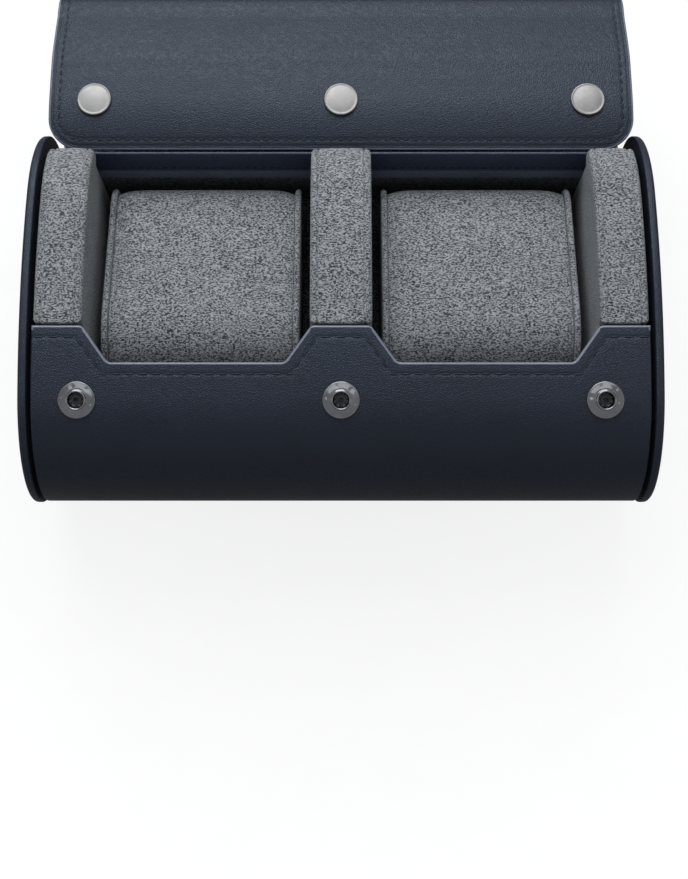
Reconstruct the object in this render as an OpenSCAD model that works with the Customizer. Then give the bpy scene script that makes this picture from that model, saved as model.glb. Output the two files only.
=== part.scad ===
// Two-place watch travel case: a leather-covered oval shell with a snap flap,
// two lift-out watch pillows, padded side walls and a padded divider.
// X runs along the case, -Y is the front, +Z is up. The origin is on the floor
// under the middle of the case. All sizes are in millimetres.

/* [Shell] */
// Length over the two end discs
case_l = 190; // [170:1:230]
// Depth of the oval end disc
case_d = 117; // [114:1:126]
// Height of the oval end disc
case_h = 72; // [71:1:78]
// How much smaller the radius of the front and back curves is than half the height
end_drop = 2.5; // [1.5:0.5:3.5]
// Height cut off the bottom of the oval, as a flat to stand on
flat_cut = 0.6; // [0.3:0.1:1]
// Thickness of one end disc with its leather
disc_t = 2.6; // [2.2:0.1:3.4]
// Width of the leather turned over the rim of an end disc
rim_w = 1.2; // [0.9:0.1:1.6]
// Gap between the end disc and the wrap, seen as a dark groove
groove = 1.2; // [0.8:0.1:2]

/* [Leather, board and lining] */
// How far the wrap lies inside the rim of the end discs
wrap_inset = 0.4; // [0.2:0.1:0.8]
// Thickness of the outer leather
leather_t = 1.4; // [1.1:0.1:1.6]
// Thickness of the stiffener board
board_t = 1.8; // [1.4:0.1:2]
// Thickness of the suede lining
lining_t = 0.9; // [0.7:0.1:1.1]
// Glue line between two layers
glue = 0.05; // [0.03:0.01:0.08]

/* [Front edge] */
// How far the three tabs reach back from the middle of the oval
tab_y = -11; // [-14:0.5:-9]
// How far the two notches reach back from the middle of the oval
notch_y = -22; // [-24:0.5:-20]
// Half width of the middle tab
tab_half = 8.8; // [7:0.1:10]
// Length of one sloping corner of a notch, along the case
notch_slope = 7.8; // [6:0.1:10]
// How far the board stops short of the leather edge
edge_turn = 1.2; // [0.8:0.1:2]

/* [Inside] */
// Width of the padded divider
divider_w = 19; // [16:0.5:22]
// Width of one padded side wall
pad_w = 16; // [13:0.5:18]
// How far the padded walls lie inside the rim of the end discs
pad_inset = 0.6; // [0.4:0.1:1.2]
// How far the pads' rear faces stay in front of the back wall's outside
pad_back_gap = 0.5; // [0.3:0.1:1]
// Radius of the pads' soft corners, seen from the side
pad_round = 2; // [1:0.1:2.2]
// Where the back wall ends, behind the middle of the oval
back_y = 49.2; // [48.4:0.2:49.6]
// Height of the back wall's bevelled top edge over the middle of the oval
back_top = 17.5; // [14:0.5:19]
// Height where the bevel of the back wall starts
bevel_low = 3; // [0:0.5:6]
// Thickness of the suede on pads and pillows
suede_t = 0.8; // [0.6:0.1:1]

/* [Pillows] */
// Gap between a pillow and the padded walls on each side of it
pillow_side_gap = 3.15; // [3:0.05:5]
// Size of the pillow across its way out
pillow_d = 65.5; // [62:0.2:65.7]
// How much lower the pillow is than the case is high
pillow_under = 31; // [29:0.5:35]
// Radius of the pillow's corners
pillow_r = 17; // [15:0.5:18.5]
// Depth of the crown on the pillow's body
crown = 1.6; // [0.8:0.1:2.4]
// Length over which the crown falls away at each end of a pillow
crown_l = 5; // [3:0.5:8]
// Lean of the pillow's way out from upright
pillow_tilt = 16; // [12:1:20]
// Thickness of the pillow's side panels
side_t = 2; // [1.5:0.1:2.5]

/* [Flap] */
// Gap between the flap's side edge and the inner face of the end disc
flap_gap = 0.6; // [0.4:0.1:1.2]
// Height of the closed flap over the rim of the end discs
flap_rise = 5; // [4.8:0.1:6]
// Thickness of the flap's stiffener board
flap_board_t = 1.4; // [1:0.1:1.5]
// Radius of the two free corners of the flap
corner_r = 10; // [6:0.5:14]
// Gap between two neighbouring flap panels at their crease
crease = 0.15; // [0.1:0.01:0.25]

/* [Snaps] */
// Distance from the flap's side edge to the middle of an outer snap
snap_edge = 14.3; // [12:0.1:22]
// Place of the snaps round the oval, as an angle from the back
snap_angle = 103.6; // [103:0.1:106]
// Width of a snap cap
cap_d = 10.8; // [9:0.1:12]
// Width of a stud's flange
flange_d = 11; // [9:0.1:12]
// Width of the stud's raised ring
ring_d = 6; // [5.4:0.1:6.2]
// Width of the hole in the stud's ring
hole_d = 4.4; // [3.8:0.1:4.6]
// Height of the raised ring over the flange
ring_h = 1.5; // [1.2:0.1:1.7]
// Width of the rivet barrel
barrel_d = 3; // [2.6:0.1:3.4]

/* [Hidden] */

// Colours as seen: navy leather, grey suede, grey board, pale foam, nickel
navy = "#2a313f";
suede = "#6b6e73";
card = "#8b8478";
foam = "#c9c6bd";
nickel = "#b9b7b2";
dark_nickel = "#5a5a60";

// The oval: two end arcs and two flat arcs that meet them without a corner
half_h = case_h / 2;
end_r = half_h - end_drop;
arc_y = case_d / 2 - end_r;
flat_r = (pow(arc_y, 2) + pow(half_h, 2) - pow(end_r, 2)) / (case_h - 2 * end_r);
turn = atan2(flat_r - half_h, arc_y);
lift = half_h - flat_cut;
end_steps = 14;
flat_steps = 5;
quarter = end_steps + flat_steps;

// Offsets of the layers from the oval, outwards positive
wrap_out = -wrap_inset;
board_out = wrap_out - leather_t - glue;
lining_out = board_out - board_t - glue;
lining_in = lining_out - lining_t;
room = lining_in - glue;
pad_out = -pad_inset;

// Rivets of the studs: the head lies in a hole of the lining
rivet_hole = barrel_d + 2 * glue;
post_head_d = 8;

// Places along the case
disc_in = case_l / 2 - disc_t;
wrap_half = disc_in - groove;
pad_in = disc_in - glue - pad_w;
pillow_x = (divider_w / 2 + pad_in) / 2;
pillow_w = pad_in - divider_w / 2 - 2 * pillow_side_gap;
pillow_h = case_h - pillow_under;
flap_half = disc_in - flap_gap;
snap_pitch = flap_half - snap_edge;

// Normal angles of edges: the front edge, the crease of the flap and the wrap's end
wrap_start = 90 + asin(-tab_y / (flat_r + wrap_out));
hinge_angle = -15.7;
wrap_end = 360 + hinge_angle;

// The flap's crease_angles and free edge, as normal angles on the closed flap
crease_angles = [hinge_angle, 45.9, 87.4, 96.4];
free_angle = 127.5;
full_angle = 60;
flap_lining_in = leather_t + glue + flap_board_t + glue + lining_t;
open_turns = [-138.6, 40.4, 73.7, 9.4];
relief_spare = 1.5;

big = 4 * case_d;
thin = 0.01;

// Normal angle of step j round the oval, four equal quarters of steps
function step_angle(j) = let (q = floor(j / quarter), k = j - q * quarter, even = (q % 2 == 0))
    90 * q + (even
        ? (k < end_steps ? turn * k / end_steps : turn + (90 - turn) * (k - end_steps) / flat_steps)
        : (k < flat_steps ? (90 - turn) * k / flat_steps
            : 90 - turn + turn * (k - flat_steps) / end_steps));

// Point on the oval, pushed out by off, where its normal has angle t
function around(t) = t - 360 * floor(t / 360);
function on(t, off) = let (n = around(t))
    (n <= turn || n >= 360 - turn) ? [arc_y + (end_r + off) * cos(t), (end_r + off) * sin(t)]
    : n < 180 - turn ? [(flat_r + off) * cos(t), half_h - flat_r + (flat_r + off) * sin(t)]
    : n <= 180 + turn ? [-arc_y + (end_r + off) * cos(t), (end_r + off) * sin(t)]
    : [(flat_r + off) * cos(t), flat_r - half_h + (flat_r + off) * sin(t)];

// Angles from t0 to t1, with every step between them
min_step = 0.4;
function angles(t0, t1) = concat([t0],
    [for (j = [-2 * quarter : 6 * quarter]) let (t = step_angle(j))
        if (t > t0 + min_step && t < t1 - min_step) t], [t1]);
function reversed(v) = [for (i = [len(v) - 1 : -1 : 0]) v[i]];
function line(t0, t1, off) = [for (t = angles(t0, t1)) on(t, off)];

// Height of the closed flap's outside over the oval: flush at the hinge, then rising
function flap_off(t) = wrap_out
    + (flap_rise - wrap_out) * min(1, max(0, (t - hinge_angle) / (full_angle - hinge_angle)));
function flap_line(t0, t1, depth) = [for (t = angles(t0, t1)) on(t, flap_off(t) - depth)];

// Flat shapes in the plane across the case
module oval(off) {
    polygon([for (j = [0 : 4 * quarter - 1]) on(step_angle(j), off)]);
}

module band(t0, t1, outer, inner) {
    polygon(concat(line(t0, t1, outer), reversed(line(t0, t1, inner))));
}

module above_floor() {
    intersection() {
        children();
        translate([-big / 2, -lift]) square(big);
    }
}

// Stands a flat shape up across the case, w wide, centred on x
module across(w, x = 0) {
    translate([x, 0, lift]) rotate([90, 0, 90]) linear_extrude(height = w, center = true) children();
}

// Sets children on the oval at normal angle t, with their Z along the normal
module on_normal(t, off, x = 0) {
    p = on(t, off);
    translate([x, p[0], p[1] + lift]) rotate([t - 90, 0, 0]) children();
}

module each_snap() {
    for (i = [-1 : 1]) translate([i * snap_pitch, 0, 0]) children();
}

// Through holes for the three rivets, along the normal at the snaps
module rivet_holes(d) {
    hole_l = 30;
    each_snap() on_normal(snap_angle, -hole_l / 2, 0) cylinder(d = d, h = hole_l, $fn = 48);
}

// The two notches of the front edge, seen from above, grown by m
module notches(m = 0) {
    inner_x = tab_half - m;
    outer_x = pad_in + m;
    low = notch_y - m;
    high = tab_y + big / 4;
    for (s = [-1, 1])
        translate([0, 0, lift]) linear_extrude(height = case_h)
            polygon([[s * inner_x, tab_y], [s * (inner_x + notch_slope), low],
                [s * (outer_x - notch_slope), low], [s * outer_x, tab_y],
                [s * outer_x, high], [s * inner_x, high]]);
}

// One layer of the wrap from the front edge round the bottom to the hinge
module wrap_layer(outer, inner, turn_in, hole) {
    inset = asin(turn_in / flat_r);
    difference() {
        across(2 * wrap_half) above_floor()
            band(wrap_start + inset, wrap_end, outer, inner);
        notches(turn_in);
        rivet_holes(hole);
    }
}

// ---- end discs ----
module disc_plate(side, outer, x0, w) {
    across(w, side * (x0 + w / 2)) above_floor() oval(outer);
}

module end_cover(side) {
    edge = 0.6;
    board_w = disc_t - leather_t + glue;
    color(navy) difference() {
        union() {
            disc_plate(side, 0, disc_in, disc_t - edge);
            disc_plate(side, -edge, case_l / 2 - edge - thin, edge + thin);
        }
        across(2 * board_w, side * disc_in) oval(-rim_w);
    }
}

module end_board(side) {
    board_w = disc_t - leather_t;
    color(card) across(board_w - glue, side * (disc_in + board_w / 2)) oval(-rim_w - glue);
}

module end_cover_left() { end_cover(-1); }
module end_cover_right() { end_cover(1); }
module end_board_left() { end_board(-1); }
module end_board_right() { end_board(1); }

// ---- wrap ----
module outer_wrap() { color(navy) wrap_layer(wrap_out, wrap_out - leather_t, 0, rivet_hole); }
module shell_board() { color(card) wrap_layer(board_out, board_out - board_t, edge_turn, rivet_hole); }
module body_lining() {
    color(suede) wrap_layer(lining_out, lining_in, edge_turn / 2, post_head_d + 2 * glue);
}

// ---- back wall ----
facing_t = 0.8;
back_board_y1 = back_y - facing_t - glue;
back_board_y0 = back_board_y1 - board_t;
back_lining_y0 = back_board_y0 - glue - lining_t;

// Everything inside the lining, in the plane across the case
module inside() { oval(room); }

module back_board_shape() {
    polygon([[back_board_y0, -case_h], [back_board_y1, -case_h],
        [back_board_y1, back_top - 2 * facing_t], [back_board_y0, bevel_low]]);
}

module back_board() {
    color(card) across(2 * wrap_half) intersection() {
        inside();
        back_board_shape();
    }
}

module back_facing() {
    color(navy) across(2 * wrap_half) difference() {
        intersection() {
            inside();
            polygon([[back_board_y0 - lining_t, bevel_low], [back_board_y1, -case_h],
                [back_y, -case_h], [back_y, back_top], [back_y - facing_t, back_top]]);
        }
        offset(r = glue, $fn = 16) back_board_shape();
        translate([-big, -big]) square([big + back_board_y0 - glue, big + bevel_low]);
    }
}

module back_lining() {
    color(suede) across(2 * wrap_half) intersection() {
        inside();
        translate([back_lining_y0, -case_h]) square([lining_t, case_h + bevel_low - glue]);
    }
}

// ---- padded walls ----
// Side view of a pad: under the rim on top, inside the lining elsewhere
module pad_shape() {
    front_y = tab_y + edge_turn / 2;
    rear_y = back_y - pad_back_gap;
    offset(r = pad_round, $fn = 24) offset(delta = -pad_round) intersection() {
        oval(pad_out);
        union() {
            intersection() {
                inside();
                translate([-big, -big / 2]) square([big + back_lining_y0 - glue, big]);
            }
            translate([front_y, 0]) square([back_lining_y0 - glue - front_y, case_h]);
            translate([front_y, back_top + glue]) square([rear_y - front_y, case_h]);
        }
    }
}

module pad_cover(w, x) {
    color(suede) difference() {
        across(w, x) pad_shape();
        across(w - 2 * suede_t, x) offset(delta = -suede_t) pad_shape();
    }
}

module pad_core(w, x, tint) {
    color(tint) across(w - 2 * suede_t - 2 * glue, x) offset(delta = -suede_t - glue) pad_shape();
}

side_pad_x = wrap_half - (wrap_half - pad_in) / 2;
module side_pad_cover_left() { pad_cover(wrap_half - pad_in, -side_pad_x); }
module side_pad_cover_right() { pad_cover(wrap_half - pad_in, side_pad_x); }
module side_pad_core_left() { pad_core(wrap_half - pad_in, -side_pad_x, foam); }
module side_pad_core_right() { pad_core(wrap_half - pad_in, side_pad_x, foam); }
module divider_cover() { pad_cover(divider_w, 0); }
module divider_board() { pad_core(divider_w, 0, card); }

// ---- pillows ----
pillow_gap = 0.4;
corner_p = pillow_d / 2 - pillow_r;
corner_q = pillow_h / 2 - pillow_r;
// The pillow's back face stays just in front of the back wall all along its way out:
// both the foot and the top of the wall's bevel are tried
function way_out(y, z) = (y - pillow_gap) * cos(pillow_tilt) - z * sin(pillow_tilt);
pillow_p = min(way_out(back_lining_y0, bevel_low), way_out(back_y - facing_t, back_top))
    - pillow_d / 2;
// Its lower back corner rests on the flat arc of the lining, which sets its height
seat_gap = 0.3;
arc_z = flat_r - half_h;
seat_r = flat_r + room - pillow_r - seat_gap;
seat_p = pillow_p + corner_p;
seat_c = pow(seat_p, 2) + 2 * arc_z * seat_p * sin(pillow_tilt) + pow(arc_z, 2) - pow(seat_r, 2);
seat_q = arc_z * cos(pillow_tilt) - sqrt(pow(arc_z * cos(pillow_tilt), 2) - seat_c);
pillow_q = seat_q + corner_q;

// Side view of the pillow, drawn in by m
module pillow_shape(m) {
    r = pillow_r - m;
    rotate(-pillow_tilt) translate([pillow_p, pillow_q]) hull()
        for (i = [-1, 1], j = [-1, 1])
            translate([i * corner_p, j * corner_q]) circle(r = r, $fn = 48);
}

// Body of the pillow, full in the middle and drawn in at both ends, m inside its cover
module pillow_body(side, m) {
    w = pillow_w - 2 * side_t - 2 * glue;
    hull() {
        across(w - 2 * crown_l, side * pillow_x) pillow_shape(m);
        across(w - crown_l, side * pillow_x) pillow_shape(m + crown / 3);
        across(w, side * pillow_x) pillow_shape(m + crown);
    }
}

module pillow_cover(side) {
    color(suede) difference() {
        pillow_body(side, 0);
        across(pillow_w, side * pillow_x) pillow_shape(crown + suede_t);
        pillow_body(side, suede_t);
    }
}

module pillow_core(side) {
    color(foam) pillow_body(side, suede_t + glue);
}

module pillow_sides(side) {
    color(suede) for (s = [-1, 1])
        across(side_t, side * pillow_x + s * (pillow_w - side_t) / 2) pillow_shape(crown / 2);
}

module pillow_cover_left() { pillow_cover(-1); }
module pillow_core_left() { pillow_core(-1); }
module pillow_sides_left() { pillow_sides(-1); }
module pillow_cover_right() { pillow_cover(1); }
module pillow_core_right() { pillow_core(1); }
module pillow_sides_right() { pillow_sides(1); }

// ---- flap ----
// Pivot of crease k on the closed flap, in its outer face
function pivot(k) = on(crease_angles[k], flap_off(crease_angles[k]));
function edge_of(k) = k < len(crease_angles) - 1 ? crease_angles[k + 1] : free_angle;

// Turns children about crease k, then about every crease before it
module folded(k, turns) {
    if (k < 0) children();
    else folded(k - 1, turns) {
        p = pivot(k);
        translate([0, p[0], p[1] + lift]) rotate([turns[k], 0, 0])
            translate([0, -p[0], -p[1] - lift]) children();
    }
}

// Wedge cut at crease k so that the panels can curl inwards, opening inwards
module crease_wedge(k) {
    t = crease_angles[k];
    p = pivot(k);
    depth = 2 * flap_rise + end_r / 2;
    half = k == 0 ? 0 : depth * tan(open_turns[k] / 2 + relief_spare);
    translate(p) rotate(t - 90)
        polygon([[-crease / 2, 1], [crease / 2, 1], [crease / 2, 0], [crease / 2 + half, -depth],
            [-crease / 2 - half, -depth], [-crease / 2, 0]]);
}

// One layer of flap panel k on the closed flap, from depth d0 to depth d1
module panel_layer(k, d0, d1, turn_in) {
    t1 = edge_of(k);
    last = k == len(crease_angles) - 1;
    inset = last ? turn_in / (end_r + flap_rise) * 180 / PI : 0;
    difference() {
        across(2 * (flap_half - turn_in)) difference() {
            polygon(concat(flap_line(crease_angles[k], t1 - inset, d0),
                reversed(flap_line(crease_angles[k], t1 - inset, d1))));
            crease_wedge(k);
            if (!last) crease_wedge(k + 1);
        }
        if (last) free_corners(turn_in);
    }
}

// Rounds the two free corners of the flap
module free_corners(turn_in) {
    r = corner_r - turn_in;
    reach = r / (end_r + flap_rise) * 180 / PI;
    inset = turn_in / (end_r + flap_rise) * 180 / PI;
    t = free_angle - inset;
    mid = t - reach / 2;
    drop = 4 * flap_rise;
    q = on(t, flap_rise);
    c = on(mid, flap_rise);
    // distance from the middle of the rounded strip to the free edge, along the tangent
    along = (q[0] - c[0]) * cos(mid + 90) + (q[1] - c[1]) * sin(mid + 90);
    for (s = [-1, 1])
        on_normal(mid, flap_rise - drop / 2, s * (flap_half - turn_in)) linear_extrude(height = drop)
            translate([0, -along]) difference() {
                translate([-s * r - (s > 0 ? 0 : r), -r]) square([2 * r, 2 * r]);
                translate([-s * r, r]) circle(r = r, $fn = 64);
                translate([-s * r - (s > 0 ? big : 0), -big]) square([big, 2 * big]);
                translate([-big, r]) square([2 * big, big]);
            }
}

module flap_leather(k) {
    color(navy) folded(k, open_turns) difference() {
        panel_layer(k, 0, leather_t, 0);
        if (k == len(crease_angles) - 1) rivet_holes(rivet_hole);
    }
}

board_turn = 2;
module flap_board(k) {
    d0 = leather_t + glue;
    color(card) folded(k, open_turns) difference() {
        panel_layer(k, d0, d0 + flap_board_t, board_turn);
        if (k == len(crease_angles) - 1) socket_holes();
    }
}

module flap_lining(k) {
    d0 = leather_t + glue + flap_board_t + glue;
    color(suede) folded(k, open_turns) difference() {
        panel_layer(k, d0, flap_lining_in, edge_turn / 2);
        if (k == len(crease_angles) - 1) socket_holes();
    }
}

module flap_back_leather() { flap_leather(0); }
module flap_back_board() { flap_board(0); }
module flap_back_lining() { flap_lining(0); }
module flap_shoulder_leather() { flap_leather(1); }
module flap_shoulder_board() { flap_board(1); }
module flap_shoulder_lining() { flap_lining(1); }
module flap_top_leather() { flap_leather(2); }
module flap_top_board() { flap_board(2); }
module flap_top_lining() { flap_lining(2); }
module flap_front_leather() { flap_leather(3); }
module flap_front_board() { flap_board(3); }
module flap_front_lining() { flap_lining(3); }

// ---- snaps ----
flange_t = 0.7;
stud_wall = 0.35;
post_head_t = 0.5;
// How much deeper a flat round plate sits than the middle of the curve inside which it lies
function sag(d, r) = d * d / 8 / r;
post_sag = sag(post_head_d, end_r + lining_out);
cap_skirt = 0.5;
cap_dome = 0.8;
socket_d = 9.4;
socket_bore = ring_d + 1.2;
socket_h = flap_lining_in - leather_t - 2 * glue - sag(socket_d, end_r + flap_rise - leather_t);
spring_wire = 0.5;

module socket_holes() {
    rivet_clear = 0.1;
    hole_l = 3 * flap_rise;
    each_snap() on_normal(snap_angle, flap_rise - leather_t - hole_l, 0)
        cylinder(d = socket_d + 2 * rivet_clear, h = hole_l, $fn = 48);
}

// Stud on the case: a domed flange with a raised hollow ring
module snap_studs() {
    color(dark_nickel) each_snap() on_normal(snap_angle, wrap_out + glue) rotate_extrude($fn = 64)
        polygon([[hole_d / 2, 0], [flange_d / 2 - flange_t / 2, 0], [flange_d / 2, flange_t / 3],
            [flange_d / 2 - flange_t / 2, flange_t], [ring_d / 2 + stud_wall, flange_t],
            [ring_d / 2 - stud_wall / 2, flange_t + stud_wall],
            [ring_d / 2, flange_t + ring_h * 0.7], [ring_d / 2 - stud_wall, flange_t + ring_h],
            [hole_d / 2, flange_t + ring_h - stud_wall]]);
}

// Rivet that holds a stud: a tube through the wrap with a rolled end and a head inside
module stud_posts() {
    bore = barrel_d - 2 * stud_wall * 2;
    reach = wrap_out - lining_out + post_sag + glue;
    color(dark_nickel) each_snap() on_normal(snap_angle, lining_out - post_sag - post_head_t)
        rotate_extrude($fn = 64)
            polygon([[bore / 2, 0], [post_head_d / 2, 0], [post_head_d / 2, post_head_t],
                [barrel_d / 2, post_head_t], [barrel_d / 2, post_head_t + reach + flange_t],
                [bore / 2, post_head_t + reach + flange_t]]);
}

// Cap on the flap: a shallow dome with a short barrel through the leather
module snap_caps() {
    sphere_r = (pow(cap_d / 2, 2) + pow(cap_dome, 2)) / (2 * cap_dome);
    color(nickel) folded(3, open_turns) each_snap() {
        on_normal(snap_angle, flap_rise + glue) intersection() {
            cylinder(d = cap_d, h = cap_skirt + cap_dome, $fn = 64);
            translate([0, 0, cap_skirt + cap_dome - sphere_r]) sphere(r = sphere_r, $fn = 96);
        }
        on_normal(snap_angle, flap_rise - leather_t - glue)
            cylinder(d = barrel_d, h = leather_t + 2 * glue + cap_skirt / 2, $fn = 48);
    }
}

// Socket on the lining side: a cup that takes the stud's ring
module snap_sockets() {
    roof = 0.5;
    groove_d = socket_bore + 2 * spring_wire;
    color(dark_nickel) folded(3, open_turns) each_snap()
        on_normal(snap_angle, flap_rise - flap_lining_in) difference() {
            cylinder(d = socket_d, h = socket_h, $fn = 64);
            translate([0, 0, -thin]) cylinder(d = socket_bore, h = socket_h - roof + thin, $fn = 64);
            translate([0, 0, spring_wire]) cylinder(d = groove_d, h = spring_wire + 2 * glue, $fn = 64);
        }
}

// Split spring ring in each socket's groove, which snaps behind the stud's ring
module snap_springs() {
    gap_w = 1.5;
    mid_r = socket_bore / 2 + spring_wire / 4;
    color(nickel) folded(3, open_turns) each_snap()
        on_normal(snap_angle, flap_rise - flap_lining_in + spring_wire + glue) difference() {
            rotate_extrude($fn = 64) translate([mid_r, spring_wire / 2])
                circle(d = spring_wire - glue, $fn = 24);
            translate([-gap_w / 2, 0, -thin]) cube([gap_w, socket_d, 2 * spring_wire]);
        }
}

end_cover_left();
end_cover_right();
end_board_left();
end_board_right();
outer_wrap();
shell_board();
body_lining();
back_board();
back_facing();
back_lining();
side_pad_cover_left();
side_pad_cover_right();
side_pad_core_left();
side_pad_core_right();
divider_cover();
divider_board();
snap_studs();
stud_posts();
pillow_cover_left();
pillow_core_left();
pillow_sides_left();
pillow_cover_right();
pillow_core_right();
pillow_sides_right();
flap_back_leather();
flap_back_board();
flap_back_lining();
flap_shoulder_leather();
flap_shoulder_board();
flap_shoulder_lining();
flap_top_leather();
flap_top_board();
flap_top_lining();
flap_front_leather();
flap_front_board();
flap_front_lining();
snap_caps();
snap_sockets();
snap_springs();
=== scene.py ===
# %% [markdown]
# # A watch travel case, dressed in leather, suede and nickel
# The CAD model of the case is loaded as a fixed frame: every board, hinge line and rivet is already
# in its place. This notebook lays the soft outside over it. The case is shown open, with its flap
# curled back behind it, so each piece is worked out in that pose. Lengths are worked out in
# millimetres, because a maker's drawing is, and turned into metres only when a mesh is made.

# %% load the frame
import math
import bpy
import numpy as np
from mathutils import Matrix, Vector


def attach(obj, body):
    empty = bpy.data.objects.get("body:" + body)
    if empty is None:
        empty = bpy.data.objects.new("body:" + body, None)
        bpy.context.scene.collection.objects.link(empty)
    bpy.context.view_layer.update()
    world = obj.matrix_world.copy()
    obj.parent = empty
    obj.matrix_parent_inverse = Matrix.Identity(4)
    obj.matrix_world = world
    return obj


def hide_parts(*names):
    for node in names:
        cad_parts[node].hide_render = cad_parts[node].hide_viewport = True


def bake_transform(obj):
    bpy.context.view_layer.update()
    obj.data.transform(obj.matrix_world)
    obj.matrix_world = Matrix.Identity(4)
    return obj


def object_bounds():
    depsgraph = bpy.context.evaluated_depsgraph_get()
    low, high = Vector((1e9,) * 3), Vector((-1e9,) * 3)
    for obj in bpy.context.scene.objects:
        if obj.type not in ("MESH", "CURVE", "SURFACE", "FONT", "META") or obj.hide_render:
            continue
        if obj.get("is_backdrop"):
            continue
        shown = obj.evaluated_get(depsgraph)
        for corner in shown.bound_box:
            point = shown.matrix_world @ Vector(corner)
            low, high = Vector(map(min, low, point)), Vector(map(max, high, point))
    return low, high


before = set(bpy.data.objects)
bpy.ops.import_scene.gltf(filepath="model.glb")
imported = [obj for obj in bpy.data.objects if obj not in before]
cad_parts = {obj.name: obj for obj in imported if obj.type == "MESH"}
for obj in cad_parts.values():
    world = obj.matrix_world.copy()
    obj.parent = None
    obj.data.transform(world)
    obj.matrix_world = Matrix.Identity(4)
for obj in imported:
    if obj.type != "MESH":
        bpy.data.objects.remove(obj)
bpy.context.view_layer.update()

# %% [markdown]
# ## The camera
# The case was seen from high in front, by a long lens. A camera could be placed by eye, but the places
# of the studs, of the front edge and of both ends give its height, distance and lens by measurement, so
# it is set from those. The picture is 688 by 879 pixels. The middle of the case lies above the middle of
# the picture, and a small shift of the lens puts it there without tilting the view.

# %% camera
PICTURE_W, PICTURE_H = 688, 879
MIDDLE_Z = 0.0354  # height of the oval's middle, m
ELEVATION, DISTANCE, FOCAL_PX = math.radians(76.4), 0.510, 1608.0
MIDDLE_PX = (341.0, 317.0)

eye = bpy.data.cameras.new("eye")
eye.sensor_fit, eye.sensor_height = "VERTICAL", 36.0
eye.lens = FOCAL_PX / PICTURE_H * eye.sensor_height
eye.shift_x = (PICTURE_W / 2 - MIDDLE_PX[0]) / PICTURE_H
eye.shift_y = -(PICTURE_H / 2 - MIDDLE_PX[1]) / PICTURE_H
eye.clip_start, eye.clip_end = 0.01, 20.0
camera = bpy.data.objects.new("eye", eye)
camera.location = (0, -DISTANCE * math.cos(ELEVATION), MIDDLE_Z + DISTANCE * math.sin(ELEVATION))
camera.rotation_euler = (math.radians(90) - ELEVATION, 0, 0)
bpy.context.collection.objects.link(camera)
bpy.context.scene.camera = camera
bpy.context.scene.view_settings.view_transform = "Standard"
print("lens %.1f mm, shift %.3f, %.3f" % (eye.lens, eye.shift_x, eye.shift_y))

# %% [markdown]
# ## Shader nodes
# The sky and every surface are small graphs of nodes. Written out socket by socket they would run to
# pages, so one helper makes a node and fills its inputs. The others give back a pair (node, output),
# which can stand among the inputs of the next call, so that a graph reads like a formula.

# %% node helpers
def feed(tree, target, feeds):
    """Fills inputs of a node. A pair (node, output) is linked, and anything else is written in."""
    for socket, value in feeds.items():
        if isinstance(value, tuple) and isinstance(value[0], bpy.types.Node):
            tree.links.new(value[0].outputs[value[1]], target.inputs[socket])
        else:
            target.inputs[socket].default_value = value
    return target


def node(tree, kind, feeds, **traits):
    """A new node of the given kind, with its traits set and its inputs filled."""
    made = tree.nodes.new("ShaderNode" + kind)
    for key, value in traits.items():
        setattr(made, key, value)
    return feed(tree, made, feeds)


def number(tree, kind, *values, clamp=False):
    """The result of a Math node, whose inputs are numbers or pairs."""
    return node(tree, "Math", dict(enumerate(values)), operation=kind, use_clamp=clamp), 0


def noise(tree, place, **sizes):
    """The value of a noise texture at a place."""
    return node(tree, "TexNoise", {"Vector": place, **sizes}), 0


def from_object(tree):
    """The place on the object."""
    return node(tree, "TexCoord", {}), "Object"


def sight(tree, glossy_share):
    """1 where the camera looks, straight or through glass, and glossy_share where a mirror does."""
    seen = node(tree, "LightPath", {})
    glossy, straight, through = ((seen, "Is %s Ray" % ray) for ray in ("Glossy", "Camera", "Transmission"))
    part = number(tree, "MULTIPLY_ADD", glossy, glossy_share, straight, clamp=True)
    return number(tree, "MAXIMUM", part, through)


# %% [markdown]
# ## The light
# Most of the light falls from one large soft lamp behind the case and a second one overhead. They give the
# pale gleam on the curled flap and let the front wall fall off into the dark. A dim even sky and two weak
# lamps at the sides fill the rest. Together they light a surface at about its written colour. The floor
# is plain and pale. What the camera sees of it is helped towards white, but it keeps the case's shadow.

# %% light and floor
def lamp(name, place, aim, size, watts):
    """A square lamp of the given size at place, turned so that it shines at aim."""
    light = bpy.data.lights.new(name, "AREA")
    light.shape, light.size, light.energy = "SQUARE", size, watts
    thing = bpy.data.objects.new(name, light)
    thing.location = place
    thing.rotation_euler = (Vector(aim) - Vector(place)).to_track_quat("-Z", "Y").to_euler()
    bpy.context.collection.objects.link(thing)


lamp("lamp_behind", (-0.12, 0.86, 0.80), (0, 0.03, 0.03), 1.00, 14.0)
lamp("lamp_over", (0.0, 0.22, 1.25), (0, 0.03, 0.03), 0.90, 2.3)
lamp("lamp_left", (-0.85, -0.15, 0.45), (0, 0, 0.03), 0.40, 0.5)
lamp("lamp_right", (0.85, -0.25, 0.45), (0, 0, 0.03), 0.40, 0.5)

sky = bpy.data.worlds.new("sky")
bpy.context.scene.world = sky
sky.use_nodes = True
tree = sky.node_tree
tree.nodes.clear()
plain = node(tree, "Background", {"Color": (0.93, 0.96, 1.0, 1), "Strength": 0.20}), 0
white = node(tree, "Background", {"Color": (1, 1, 1, 1), "Strength": 1.0}), 0
mix = node(tree, "MixShader", {0: sight(tree, 0.30), 1: plain, 2: white}), 0
node(tree, "OutputWorld", {"Surface": mix})

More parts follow.
